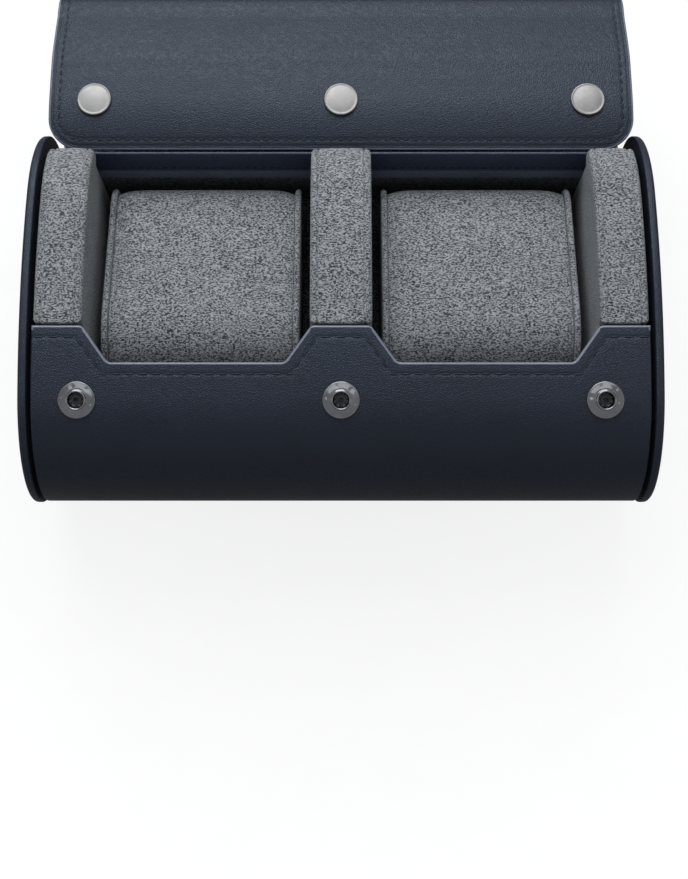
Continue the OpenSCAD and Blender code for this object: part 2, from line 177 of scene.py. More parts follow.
FLOOR = 4  # half its side, m
floor_mesh = bpy.data.meshes.new("floor")
floor_mesh.from_pydata([(-FLOOR, -FLOOR, 0), (FLOOR, -FLOOR, 0), (FLOOR, FLOOR, 0), (-FLOOR, FLOOR, 0)], [],
                       [(0, 1, 2, 3)])
floor = bpy.data.objects.new("floor", floor_mesh)
bpy.context.collection.objects.link(floor)
floor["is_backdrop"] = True
print("four lamps, a sky and a floor")

# %% [markdown]
# ## Materials
# Leather is a pebbled skin: small cells with valleys between them, over slow shifts of colour. Suede is a
# nap that lies one way here and another way there, so it looks mottled. Nickel shows fine turning marks.
# Each of these effects is used by several finishes, so each is a node group, built once, and placed in
# every material with its own sizes and colours. All read Object coordinates: the pieces stand at the
# origin, so the pattern runs on from one piece to the next.

# %% the groups
BLACK, WHITE = (0.0, 0.0, 0.0, 1.0), (1.0, 1.0, 1.0, 1.0)


def group(name, defaults, outputs):
    """A group with Low, High and one number per default as its inputs. Returns it with its two ends."""
    tree = bpy.data.node_groups.new(name, "ShaderNodeTree")
    rows = [("INPUT", *row) for row in {**defaults, "Low": BLACK, "High": WHITE}.items()]
    for way, label, value in rows + [("OUTPUT", label, None) for label in outputs]:
        kind = "NodeSocketColor" if label in ("Low", "High", "Color") else "NodeSocketFloat"
        socket = tree.interface.new_socket(name=label, in_out=way, socket_type=kind)
        if value is not None:
            socket.default_value = value
    return tree, tree.nodes.new("NodeGroupInput"), tree.nodes.new("NodeGroupOutput")


def tint(tree, gin, share):
    """The colour at a share of the way from the group's Low to its High."""
    return node(tree, "Mix", {0: share, 6: (gin, "Low"), 7: (gin, "High")}, data_type="RGBA"), 2


# %% leather grain
tree, gin, gout = group("leather_grain", {"Cell": 0.0008, "Gloss": 0.45}, ("Color", "Roughness", "Height"))
place = from_object(tree)
cells = node(tree, "TexVoronoi", {"Vector": place, "Scale": number(tree, "DIVIDE", 1.0, (gin, "Cell"))},
             feature="DISTANCE_TO_EDGE")
slow = noise(tree, place, Scale=55.0, Detail=4.0)
pores = noise(tree, place, Scale=900.0, Detail=2.0)
valley = number(tree, "MULTIPLY", (cells, "Distance"), 3.2, clamp=True)
tone = number(tree, "MULTIPLY_ADD", slow, 0.75, number(tree, "MULTIPLY", valley, 0.25))
rough = number(tree, "MULTIPLY_ADD", slow, 0.16, number(tree, "SUBTRACT", (gin, "Gloss"), 0.08))
height = number(tree, "MULTIPLY_ADD", pores, 0.35, valley)
feed(tree, gout, {"Color": tint(tree, gin, tone), "Roughness": rough, "Height": height})
leather_grain = tree

# %% suede nap
tree, gin, gout = group("suede_nap", {"Patch": 0.004, "Hair": 0.0006}, ("Color", "Height"))
place = from_object(tree)
patches = noise(tree, place, Scale=number(tree, "DIVIDE", 1.0, (gin, "Patch")), Detail=6.0, Roughness=0.68)
# the marks of the nap are longer along the case
brushed = node(tree, "VectorMath", {0: place, 1: (0.72, 1.35, 1.35)}, operation="MULTIPLY"), 0
fuzz = noise(tree, brushed, Scale=number(tree, "DIVIDE", 1.0, (gin, "Hair")), Detail=2.0, Roughness=0.7)
steep = number(tree, "MULTIPLY_ADD", fuzz, 8.0, -3.45, clamp=True)
marks = number(tree, "MULTIPLY_ADD", steep, 0.80, -0.10)
mixed = number(tree, "MULTIPLY_ADD", patches, 0.40, marks, clamp=True)
height = number(tree, "MULTIPLY_ADD", patches, 0.4, fuzz)
feed(tree, gout, {"Color": tint(tree, gin, mixed), "Height": height})
suede_nap = tree

# %% metal marks
tree, gin, gout = group("turned_metal", {"Base": 0.3}, ("Color", "Roughness", "Height"))
place = from_object(tree)
marks = noise(tree, place, Scale=1400.0, Detail=3.0)
haze = noise(tree, place, Scale=240.0)
rough = number(tree, "MULTIPLY_ADD", marks, 0.14, (gin, "Base"))
feed(tree, gout, {"Color": tint(tree, gin, haze), "Roughness": rough, "Height": marks})
turned_metal = tree


# %% the finishes
def rgb(r, g, b):
    """A colour written as seen on a screen, 0 to 255, as Blender's linear colour."""
    c = np.array([r, g, b]) / 255.0
    c = np.where(c > 0.04045, ((c + 0.055) / 1.055) ** 2.4, c / 12.92)
    return (*map(float, c), 1.0)


def finish(name, effect, low, high, bump, sizes, **fixed):
    """A material: one effect group feeds colour, roughness and bump, and fixed numbers sit on the shader."""
    mat = bpy.data.materials.new(name)
    mat.use_nodes = True
    tree = mat.node_tree
    shader = next(n for n in tree.nodes if n.type == "BSDF_PRINCIPLED")
    pattern = node(tree, "Group", {**sizes, "Low": rgb(*low), "High": rgb(*high)}, node_tree=effect)
    raised = node(tree, "Bump", {"Distance": bump, "Strength": 1.0, "Height": (pattern, "Height")})
    feed(tree, shader, {"Base Color": (pattern, "Color"), "Normal": (raised, "Normal")})
    if "Roughness" in pattern.outputs:
        feed(tree, shader, {"Roughness": (pattern, "Roughness")})
    feed(tree, shader, {key.replace("_", " "): value for key, value in fixed.items()})
    return mat


BLUISH = {"Specular_Tint": (0.74, 0.86, 1.0, 1)}
NAPPED = {"Sheen_Roughness": 0.5, "Specular_IOR_Level": 0.15}
leather = finish("navy_leather", leather_grain, (18, 22, 32), (28, 34, 49), 0.00007,
                 {"Cell": 0.00070, "Gloss": 0.41}, Specular_IOR_Level=0.42, **BLUISH)
# a lighter copy of the navy leather for the back wall: painted light, as that wall stands in the curled
# flap's shade
facing_leather_painted_light = finish("facing_leather_painted_light", leather_grain, (40, 48, 66), (60, 70, 92), 0.00005,
                        {"Cell": 0.00070, "Gloss": 0.42}, **BLUISH)
leather_edge = finish("painted_edge", leather_grain, (80, 87, 102), (128, 136, 152), 0.00003,
                      {"Cell": 0.0016, "Gloss": 0.36})
thread = finish("navy_thread", leather_grain, (5, 7, 12), (15, 19, 30), 0.00004,
                {"Cell": 0.0003, "Gloss": 0.55}, **BLUISH)
suede = finish("grey_suede", suede_nap, (3, 4, 5), (172, 178, 184), 0.00055,
               {"Patch": 0.0070, "Hair": 0.00054}, Roughness=0.95, Sheen_Weight=0.15, **NAPPED)
suede_dark = finish("grey_suede_shaded", suede_nap, (22, 24, 27), (128, 132, 137), 0.00045,
                    {"Patch": 0.0060, "Hair": 0.00052}, Roughness=0.96, Sheen_Weight=0.1, **NAPPED)
greyboard = finish("grey_board", suede_nap, (100, 93, 83), (134, 126, 114), 0.00004,
                   {"Patch": 0.0060, "Hair": 0.0009}, Roughness=0.9)
foam = finish("pale_foam", suede_nap, (176, 172, 160), (214, 210, 200), 0.00020,
              {"Patch": 0.0040, "Hair": 0.0008}, Roughness=0.95)
nickel = finish("satin_nickel", turned_metal, (108, 108, 109), (132, 132, 132), 0.000004,
                {"Base": 0.36}, Metallic=1.0)
dark_nickel = finish("dark_nickel", turned_metal, (112, 114, 118), (146, 148, 152), 0.000004,
                     {"Base": 0.08}, Metallic=1.0)
shaded_nickel = finish("shaded_nickel", turned_metal, (48, 49, 52), (74, 75, 78), 0.000004,
                       {"Base": 0.22}, Metallic=1.0)
paper = finish("pale_floor", suede_nap, (98, 99, 101), (102, 103, 105), 0.0,
               {"Patch": 0.30, "Hair": 0.02}, Roughness=0.9, Specular_IOR_Level=0.1)

# what the camera sees of the floor is raised towards white, the more so the further away it lies
tree = paper.node_tree
shader = next(n for n in tree.nodes if n.type == "BSDF_PRINCIPLED")
out = next(n for n in tree.nodes if n.type == "OUTPUT_MATERIAL")
far = node(tree, "VectorMath", {0: from_object(tree)}, operation="LENGTH"), "Value"
raised = number(tree, "MULTIPLY_ADD", far, 0.55, 0.81, clamp=True)
glow = node(tree, "Emission", {"Strength": number(tree, "MULTIPLY", sight(tree, 0.12), raised)})
feed(tree, out, {"Surface": (node(tree, "AddShader", {0: (shader, 0), 1: (glow, 0)}), 0)})
floor.data.materials.append(paper)
print("finishes:", ", ".join(m.name for m in bpy.data.materials))

# %% [markdown]
# ## The oval and the closed flap, as formulas
# Both ends of the case are one oval of four arcs: two tight ones at the front and the back, and two very
# flat ones at the top and the bottom. Every layer of the case is that oval pushed in or out. A place on it
# is named by the angle of its outward normal: 0 at the back, 90 on top, 180 at the front. Distances along
# it are measured by adding up the arcs once, so that rows of stitches and of grid lines keep their spacing.

# %% the oval
HALF_D, HALF_H, END_R = 58.5, 36.0, 33.5  # half depth and height, and radius of the tight arcs, mm
LIFT = 35.4  # height of the oval's middle over the floor, mm
ARC_Y = HALF_D - END_R
FLAT_R = (ARC_Y ** 2 + HALF_H ** 2 - END_R ** 2) / (2 * (HALF_H - END_R))
TURN = math.degrees(math.atan2(FLAT_R - HALF_H, ARC_Y))


def arcs(t):
    """The arc that carries normal angle t: its radius and its centre's y and z."""
    n = np.mod(t, 360.0)
    back, front = (n <= TURN) | (n >= 360 - TURN), np.abs(n - 180) <= TURN
    r = np.where(back | front, END_R, FLAT_R)
    z0 = np.where(back | front, 0.0, np.where(n < 180, HALF_H - FLAT_R, FLAT_R - HALF_H))
    return r, np.where(back, ARC_Y, np.where(front, -ARC_Y, 0.0)), z0


def oval(t, off=0.0):
    """Point (y, z) in mm of the oval where its outward normal has angle t, pushed out by off.

    Point = centre of the arc + (radius + off) * (cos t, sin t)."""
    (r, y0, z0), a = arcs(t), np.radians(np.mod(t, 360.0))
    return y0 + (r + off) * np.cos(a), z0 + (r + off) * np.sin(a) + LIFT


angle_table = np.linspace(-40.0, 362.0, 16081)
mid_angles = (angle_table[1:] + angle_table[:-1]) / 2
length_table = np.r_[0.0, np.cumsum(arcs(mid_angles)[0] * np.radians(np.diff(angle_table)))]


def length_at(t):
    """Distance in mm along the oval from its start up to normal angle t."""
    return np.interp(t, angle_table, length_table)


def angle_at(length):
    """Normal angle at a distance along the oval: the table of length_at, read the other way."""
    return np.interp(length, length_table, angle_table)


ROUND = length_at(320) - length_at(-40)
print("oval %.0f x %.0f mm, round it %.0f mm" % (2 * HALF_D, 2 * HALF_H, ROUND))

# %% [markdown]
# ## Turning grids of points into meshes
# A layer of leather is a slab: a grid of points on its face, the same grid on its back, and walls
# between their rims. Rounded edges come from the grid itself: close to the rim the face sinks along a
# quarter circle. Everything is computed as whole arrays, and the volume's sign tells whether the faces
# look outwards. If not, they are turned round.

# %% mesh helpers
EDGE_STEPS = np.array([0.0, 0.04, 0.14, 0.30, 0.52, 0.78, 1.05])  # grid lines over a rounded edge of width 1


def run(a, b):
    """Distance along a line of points (a, b) from its start up to each of them."""
    return np.r_[0, np.cumsum(np.hypot(np.diff(a), np.diff(b)))]


def window(reach, count):
    """Places from -reach to reach and their weights cos^2(pi s / (2 reach)), which add up to 1."""
    s = np.linspace(-reach, reach, count)
    weight = np.cos(s / reach * np.pi / 2) ** 2
    return s, weight / weight.sum()


def quads(rows, cols, closed=False):
    """Corner numbers of the quads of a rows x cols grid of points, each row closed round if asked."""
    i = np.arange(rows - 1)[:, None] * cols
    j = np.arange(cols if closed else cols - 1)[None, :]
    a, b = i + j, i + (j + 1) % cols
    return np.stack([a, b, b + cols, a + cols], axis=-1).reshape(-1, 4)


def volume(points, faces):
    """Signed volume: the sum over triangles of the box product of their corners, divided by six."""
    a, b, c, d = (points[faces[:, k]] for k in range(4))
    return (a * (np.cross(b, c) + np.cross(c, d))).sum() / 6


def piece(name, points, faces, materials, which=None):
    """Makes a closed mesh object from points in mm and quads, leaving out points that no quad uses."""
    used, faces = np.unique(np.asarray(faces, int), return_inverse=True)
    points, faces = np.asarray(points, float).reshape(-1, 3)[used], faces.reshape(-1, 4)
    if volume(points, faces) < 0:
        faces = faces[:, ::-1]
    mesh = bpy.data.meshes.new(name)
    mesh.from_pydata((points / 1000).tolist(), [], faces.tolist(), shade_flat=False)
    for mat in materials:
        mesh.materials.append(mat)
    if which is not None:
        mesh.polygons.foreach_set("material_index", np.asarray(which, np.int32))
    mesh.validate()
    mesh.update()
    mesh.set_sharp_from_angle(angle=math.radians(50))
    thing = bpy.data.objects.new(name, mesh)
    bpy.context.collection.objects.link(thing)
    return thing


def dress(thing, body, node_name=None):
    """Hangs a piece on the empty of the body it rides on, and hides the CAD node it stands for, if one is
    named.
    """
    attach(thing, body)
    if node_name:
        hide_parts(node_name)


def slab(shape, near, top, under, soft, hole=None):
    """Points, quads and rim mask of a closed layer.

    shape(depth) gives the grid of points at that depth, near is each point's distance to the rim. Within
    soft of the rim both faces sink towards the middle by soft * (1 - sqrt(1 - e^2)), e = 1 - near / soft.
    Cells whose corners all lie in hole are left out. A wall stands on each edge that has a quad on one
    side only, which is the rim and the edge of each hole."""
    e = np.clip(1 - near / soft, 0, 1)
    sink = soft * (1 - np.sqrt(1 - e * e))
    outer, inner = shape(top + sink), shape(under - sink)
    n = near.size
    face = quads(*near.shape)
    if hole is not None:
        face = face[~hole.ravel()[face].all(axis=1)]
    start, end = face.ravel(), np.roll(face, -1, axis=1).ravel()
    alone = ~np.isin(start * n + end, end * n + start)
    start, end = start[alone], end[alone]
    wall = np.stack([start, end, end + n, start + n], axis=-1)
    faces = np.r_[face[:, ::-1], face + n, wall]
    close = near.ravel()[face].max(axis=1) < soft * 1.3
    rim = np.r_[close, close, np.ones(len(wall), bool)]
    return np.r_[outer.reshape(-1, 3), inner.reshape(-1, 3)], faces, rim


def edge_lines(a, b, step, soft):
    """Grid lines from a to b, about step apart, and closer together within soft of both ends."""
    fine = soft * EDGE_STEPS
    count = max(2, int(round((b - a - 2 * fine[-1]) / step)))
    return np.r_[a + fine[:-1], np.linspace(a + fine[-1], b - fine[-1], count + 1), b - fine[-2::-1]]


print("helpers for grids and slabs")

# %% [markdown]
# ## The front edge
# The wrap ends at the front in three tabs with two notches between them, where a thumb lifts a pillow
# out. On paper this is a strip of leather cut along a zigzag. Here every column of the grid starts at the
# zigzag, so the cut is exact, and the distance to the zigzag shapes the painted edge and the shallow
# channel that the thread pulls into the leather.

# %% the zigzag
WRAP_OUT = -0.4  # the wrap lies inside the rim of the end discs, mm
LEATHER_T, WRAP_HALF, SOFT_EDGE = 1.4, 91.2, 0.62
LINING_OUT, LINING_T = -3.7, 0.9
TAB, NOTCH = 11.0, 22.0  # how far the tabs and notches reach down the front from the middle, mm
STITCH_IN, FLOOR_GAP = 3.5, 0.05
HINGE_ANGLE, JOIN_ANGLE = -15.7, -30.0

corner_x = np.array([WRAP_HALF, 76.35, 68.55, 16.6, 8.8])
zigzag_x = np.r_[-corner_x, corner_x[::-1]]
zigzag_y = np.array([TAB, TAB, NOTCH, NOTCH, TAB, TAB, NOTCH, NOTCH, TAB, TAB])
top_length = length_at(90.0)


def front_edge(x, reach=1.3):
    """The zigzag at columns x with its corners rounded: its weighted mean over 2 * reach mm."""
    s, weight = window(reach, 27)
    return (np.interp(np.clip(x[..., None] + s, -WRAP_HALF, WRAP_HALF), zigzag_x, zigzag_y) * weight).sum(-1)


def path_distance(px, py, lx, ly):
    """Distance of points (px, py) to the line through (lx, ly): the least distance to its segments."""
    best = np.inf
    for x, y, ux, uy in zip(lx, ly, np.diff(lx), np.diff(ly)):
        f = np.clip(((px - x) * ux + (py - y) * uy) / (ux ** 2 + uy ** 2), 0, 1)
        best = np.minimum(best, np.hypot(px - x - f * ux, py - y - f * uy))
    return best


def offset_path(lx, ly, by):
    """The line moved sideways by a distance, with mitred corners: p + by * (n1 + n2) / (1 + n1.n2)."""
    d = np.stack([np.diff(lx), np.diff(ly)], -1)
    n = np.stack([-d[:, 1], d[:, 0]], -1) / np.linalg.norm(d, axis=1)[:, None]
    n1, n2 = np.vstack([n[:1], n]), np.vstack([n, n[-1:]])
    move = (n1 + n2) / (1 + (n1 * n2).sum(-1))[:, None] * by
    return lx + move[:, 0], ly + move[:, 1]


seam_x, seam_y = offset_path(zigzag_x, zigzag_y, STITCH_IN)
cut_x = np.linspace(-WRAP_HALF, WRAP_HALF, 400)
cut_y = front_edge(cut_x)


def wrap_grid(side_in, edge_in, soft):
    """Columns x and distances s down the front from the top, for a layer cut back by side_in and edge_in."""
    half = WRAP_HALF - side_in
    slopes = np.concatenate([np.linspace(a - 1.6, b + 1.6, 19) for a, b in zigzag_x[1:9].reshape(4, 2)])
    x = np.unique(np.round(np.r_[edge_lines(-half, half, 2.6, soft), slopes], 3))
    x = x[np.r_[True, np.diff(x) > 0.015]]
    start = front_edge(x)[:, None] + edge_in
    end = length_at(360 + JOIN_ANGLE) - top_length
    fine = np.r_[soft * EDGE_STEPS, np.arange(soft * 1.05 + 0.3, 5.4, 0.28)]
    far = np.linspace(0, 1, 118)[1:] ** 1.15
    s = np.concatenate([start + fine, start + fine[-1] + far * (end - start - fine[-1])], axis=1)
    return np.broadcast_to(x[:, None], s.shape), s


def on_wrap(x, s, off):
    """Point at column x, distance s down the front from the top of the oval, at height off.

    Below, the case is pressed flat where it stands."""
    y, z = oval(angle_at(top_length + s), off)
    return np.stack([x, y, np.maximum(z, FLOOR_GAP)], -1)


# each layer: its place, thickness, how far its sides, its front edge and that edge's rounding lie inside the
# leather's cut, the width of the rounding, and the depth of the thread's channel, all in mm
for name, mats, off, thick, side_in, edge_in, rim_in, soft, deep, slot_name, node_name in (
        ("wrap_leather", [leather, leather_edge], WRAP_OUT, LEATHER_T, 0.0, 0.0, 0.0, SOFT_EDGE, 0.16,
         "leather_navy", "outer_wrap"),
        ("wrap_lining_suede", [suede_dark], LINING_OUT, LINING_T, 0.5, 0.7, 0.6, 0.4, 0.0,
         "suede_grey", "body_lining")):
    gx, gs = wrap_grid(side_in, edge_in, soft)
    to_cut = path_distance(gx, gs, cut_x, cut_y)
    near = np.minimum(to_cut - rim_in, WRAP_HALF - side_in - np.abs(gx))
    channel = deep * np.exp(-(path_distance(gx, gs, seam_x, seam_y) / 0.55) ** 2)
    points, faces, rim = slab(lambda depth: on_wrap(gx, gs, off - depth - channel * (depth < thick / 2)),
                              near, 0.0, thick, soft)
    painted = rim & (np.tile(to_cut.ravel(), 2)[faces].min(axis=1) < 2 * soft)  # not along the sides
    part = piece(name, points, faces, mats, painted * (len(mats) - 1))
    dress(part, "case", node_name)
    print(name, len(part.data.polygons), "faces")

# %% [markdown]
# ## Stitches
# A stitch is a short thread that dives into the leather at both ends. Thousands of curves would be slow,
# so one small spindle is worked out once and copied along the seam in a single array product.

# %% stitch helper
ROWS, SPIN = 7, 8
spin = np.linspace(0, 2 * np.pi, SPIN, endpoint=False)
along_line = np.linspace(-1, 1, ROWS)[:, None]
spindle_r = np.sqrt(np.clip(1 - np.abs(along_line) ** 3, 0.02, 1))
spindle = np.stack(np.broadcast_arrays(along_line, spindle_r * np.cos(spin), spindle_r * np.sin(spin)), -1)
spindle[[0, -1], :, 1:] *= 0.05
spindle = spindle.reshape(-1, 3)
spindle_faces = quads(ROWS, SPIN, closed=True)


def seam(px, pv, pitch, length, width, high):
    """Points (x, v, height) and faces of the stitches along a line drawn on unrolled leather.

    The line is read off at equal steps. Each spindle is scaled by half its length, half its width and its
    height, and turned so that it lies along the line."""
    px, pv = dense(px, pv)
    d = run(px, pv)
    count = max(1, int(d[-1] / pitch))
    at = (np.arange(count) + 0.5) * d[-1] / count
    back, on = np.maximum(at - 0.4, 0), np.minimum(at + 0.4, d[-1])
    t = np.stack([np.interp(on, d, p) - np.interp(back, d, p) for p in (px, pv)], -1)
    t /= np.linalg.norm(t, axis=1)[:, None]
    along, across = spindle[:, 0] * length / 2, spindle[:, 1] * width / 2
    x = np.interp(at, d, px)[:, None] + t[:, :1] * along - t[:, 1:] * across
    v = np.interp(at, d, pv)[:, None] + t[:, 1:] * along + t[:, :1] * across
    h = np.broadcast_to(spindle[:, 2] * high, x.shape)
    faces = spindle_faces[None] + (np.arange(count) * len(spindle))[:, None, None]
    return np.stack([x, v, h], -1).reshape(-1, 3), faces.reshape(-1, 4)


def join(parts):
    """Joins several (points, faces) pairs into one, counting the points of each after the last."""
    base = np.cumsum([0] + [len(p) for p, f in parts])
    return np.concatenate([p for p, f in parts]), np.concatenate([f + b for (p, f), b in zip(parts, base)])


def dense(lx, lv, count=900):
    """The line through a few corners, read off at many even steps."""
    d = run(lx, lv)
    q = np.linspace(0, d[-1], count)
    return np.interp(q, d, lx), np.interp(q, d, lv)


corners = ((0, 2), (1, 5), (4, 6), (5, 9), (8, 10))  # first and last corner of each run of stitches
points, faces = join([seam(seam_x[a:b], seam_y[a:b], 3.8, 2.9, 0.62, 0.26) for a, b in corners])
points = on_wrap(points[:, 0], points[:, 1], WRAP_OUT - 0.13 + points[:, 2])
dress(piece("front_edge_stitches", points, faces, [thread]), "case")
print("front stitches", len(faces) // len(spindle_faces))

# %% [markdown]
# ## The end discs
# Each end is an oval board covered in leather that is turned over its rim, so the rim is a smooth bead and
# the outer face is very slightly domed. A disc could be extruded and bevelled. Here its profile is carried
# round the oval, which rounds the bead exactly.

# %% end discs
DISC_IN, DISC_T, BEAD_R, INNER_R = 92.4, 2.6, 1.2, 0.45
DOME, TINY = 0.25, 0.002  # rise of the outer face, mm, and what is left of a ring at its middle
inner_turn = np.linspace(0, np.pi / 2, 5)[1:]
outer_turn = np.radians(np.linspace(0, 90, 9))[1:]
inset = np.r_[1.3, 0.5, INNER_R - INNER_R * np.sin(inner_turn), BEAD_R - BEAD_R * np.cos(outer_turn)]
reach = np.r_[0, 0, INNER_R - INNER_R * np.cos(inner_turn), DISC_T - BEAD_R + BEAD_R * np.sin(outer_turn)]
round_angles = angle_at(length_at(-40) + np.linspace(0, ROUND, 221)[:-1])


def disc(side):
    """Points and quads of one end disc: rings round the oval, from the inner face over the bead outwards.

    A ring is the oval pushed in by inset at distance reach from the inner face. The last rings shrink
    towards the middle as (1 - q), while the face rises by DOME * (1 - (1 - q)^2)."""
    y, z = oval(round_angles[None, :], -inset[:, None])
    x = DISC_IN + np.broadcast_to(reach[:, None], y.shape)
    q = np.linspace(0.04, 1.0, 16)[:, None]
    face_y, face_z = oval(round_angles[None, :], -BEAD_R)
    keep = np.where(q < 1, 1 - q, TINY)
    fy, fz = face_y * keep, (face_z - LIFT) * keep + LIFT
    fx = DISC_IN + DISC_T + DOME * (1 - keep ** 2) + 0 * fy
    by, bz = y[:1] * TINY, (z[:1] - LIFT) * TINY + LIFT
    rings = np.concatenate([np.stack(ring, -1) for ring in ((x[:1], by, bz), (x, y, z), (fx, fy, fz))])
    rings[..., 0] *= side
    rings[..., 2] = np.maximum(rings[..., 2], FLOOR_GAP)
    return rings.reshape(-1, 3), quads(len(rings), len(round_angles), closed=True)


for side, label in ((-1, "left"), (1, "right")):
    end = piece("end_disc_leather_" + label, *disc(side), [leather])
    dress(end, "case", "end_cover_" + label)
print("end discs, bead radius", BEAD_R, "mm")

# %% [markdown]
# ## The flap: one sheet of leather over four hinge lines
# The real flap is one soft strip. It grows out of the back of the wrap, curls over the case and snaps to
# the front. The model has four stiff panels on four hinge lines. If each panel wore its own leather, the
# open flap would show four flat strips with gaps. So each piece of leather here runs from the middle of
# one panel to the middle of the next and bends over one hinge line, with a weight from 0 to 1.
#
# The shape is worked out on the closed flap, where it is the oval with a little rise. Then each point is
# turned open about its hinge line by its weight times the panel's turn. The weight is read off where the
# point ends up, so it is found by trying again until it settles. That way the open flap is a smooth curl,
# and turning each point back by the same weight would put it onto the smooth closed curve.

# %% the closed flap and how it opens
FLAP_HALF, CORNER_R, FLAP_RISE, FREE_ANGLE = 91.8, 10.0, 5.0, 127.5
CREASES = np.array([HINGE_ANGLE, 45.9, 87.4, 96.4])
TURNS = np.radians([-138.6, 40.4, 73.7, 9.4])
BEND = np.array([6.0, 27.0, 19.0, 9.0])  # length of leather that takes part in each bend, mm
BODIES = ["case", "flap_back", "flap_shoulder", "flap_top", "flap_front"]


def flap_off(t):
    """Height of the closed flap over the oval: level with the wrap at its hinge, full from 60 degrees."""
    return WRAP_OUT + (FLAP_RISE - WRAP_OUT) * np.clip((t - HINGE_ANGLE) / (60 - HINGE_ANGLE), 0, 1)


flap_t = np.linspace(-40, 140, 7201)
flap_table = run(*oval(flap_t, flap_off(flap_t)))


def flap_length(t):
    """Distance in mm along the closed flap's face up to normal angle t."""
    return np.interp(t, flap_t, flap_table)


def on_flap(x, v, depth):
    """Point of the closed flap at column x and distance v along its face, depth mm under the face."""
    t = np.interp(v, flap_table, flap_t)
    y, z = oval(t, flap_off(t) - depth)
    return np.stack(np.broadcast_arrays(x, y, z), -1)


def turned(p, angle, pivot):
    """Points p turned by angle, one number or one per point, about the line along x through pivot."""
    c, s = np.cos(angle), np.sin(angle)
    y, z = p[..., 1] - pivot[0], p[..., 2] - pivot[1]
    return np.stack([p[..., 0], pivot[0] + c * y - s * z, pivot[1] + s * y + c * z], -1)


PIVOTS = [oval(t, flap_off(t)) for t in CREASES]
v_creases = flap_length(CREASES)


def opened(k, p, weight):
    """Closed points p in the open pose: turned by weight about hinge line k, fully about those before."""
    p = turned(p, TURNS[k] * weight, PIVOTS[k])
    for j in range(k - 1, -1, -1):
        p = turned(p, TURNS[j], PIVOTS[j])
    return p


def bend_ends(k):
    """The two points of the open leather between which hinge line k's bend is spread."""
    before, after = (on_flap(0.0, v_creases[k] + way * BEND[k] / 2, 0.0) for way in (-1, 1))
    return opened(k, before, 0.0), opened(k, after, 1.0)


def smooth(share):
    """The step 3 s^2 - 2 s^3 from 0 to 1."""
    return share * share * (3 - 2 * share)


def bent_open(k, p, v):
    """Closed points p at distances v in the open pose, and by how much their weights are unsettled.

    The weight is smooth(share of the way from the bend's start to its end), and the share is measured on
    the opened point itself."""
    start, end = bend_ends(k)
    d = end - start

    def aim(weight):
        """The weight that the points call for when they are opened by this one."""
        return smooth(np.clip(((opened(k, p, weight) - start) @ d) / (d @ d), 0, 1))

    weight = smooth(np.clip((v - v_creases[k]) / BEND[k] + 0.5, 0, 1))
    for trial in range(160):
        weight = 0.6 * weight + 0.4 * aim(weight)
    return opened(k, p, weight), float(np.abs(aim(weight) - weight).max())


def bend_over(k, kind, closed, v, faces, mats, which=None):
    """Opens closed points at distances v over hinge line k, each turned by its weight between the two panels,
    and makes them a piece.
    """
    points, miss = bent_open(k, closed, v)
    part = piece("%s_%s" % (BODIES[k + 1], kind), points, faces, mats, which)
    start, end = bend_ends(k)
    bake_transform(part)
    return part, miss


V_FREE = flap_length(FREE_ANGLE)
V_CUTS = [flap_length(JOIN_ANGLE), (v_creases[0] + v_creases[1]) / 2, (v_creases[1] + v_creases[2]) / 2,
          (v_creases[2] + 1.0 + v_creases[3]) / 2, V_FREE]
print("flap face %.1f mm long; open hinge lines at" % (V_FREE - v_creases[0]),
      [tuple(np.round(opened(k, on_flap(0.0, v_creases[k], 0.0), 0.0)[1:], 1)) for k in range(4)])

# %% [markdown]
# The strip has straight sides and two rounded corners at its free edge. The grid is laid so that its last
# rows follow the corners: the half width falls as a quarter circle.

# %% the flap's layers
SNAP_ANGLE, SNAP_X, SOCKET_HOLE = 103.6, np.array([-77.5, 0.0, 77.5]), 4.9
SQUARE, REACH = 4.0, 6.0  # half widths of the grid squares that become a hole, and that stay as they are, mm
v_snap = flap_length(SNAP_ANGLE)
ring_lines = np.array([0.6, 1.25, 1.95, 2.8, SQUARE, 4.06, 4.16, 4.32, 4.6, 5.1])
ring_lines = np.r_[-ring_lines[::-1], 0.0, ring_lines]
side_lines = np.array([1.15, 1.3, 1.45, 1.6, 1.8, 2.1, 2.5, 2.8, 3.1, 3.4, 3.7, 4.0, 4.4, 5.2, 6.5, 8.5])


def half_width(v, inset):
    """Half width of the flap at distance v: as the wrap's before the hinge, rounded at the free edge."""
    half = WRAP_HALF + (FLAP_HALF - WRAP_HALF) * np.clip((v - v_creases[0]) / 2.0 + 0.5, 0, 1) - inset
    r = CORNER_R - inset
    drop = np.clip(v - (V_FREE - inset - r), 0, r)
    return half - (r - np.sqrt(r * r - drop * drop))


def rim_distance(x, v):
    """Distance from a point of the flap to its rim: to a side, to the free edge or to a corner's circle."""
    half = half_width(np.minimum(v, V_FREE - CORNER_R), 0.0)
    side, end = half - np.abs(x), V_FREE - v
    cx, cv = CORNER_R - side, CORNER_R - end
    corner = CORNER_R - np.hypot(np.clip(cx, 0, None), np.clip(cv, 0, None))
    return np.where((cx > 0) & (cv > 0), corner, np.minimum(side, end))


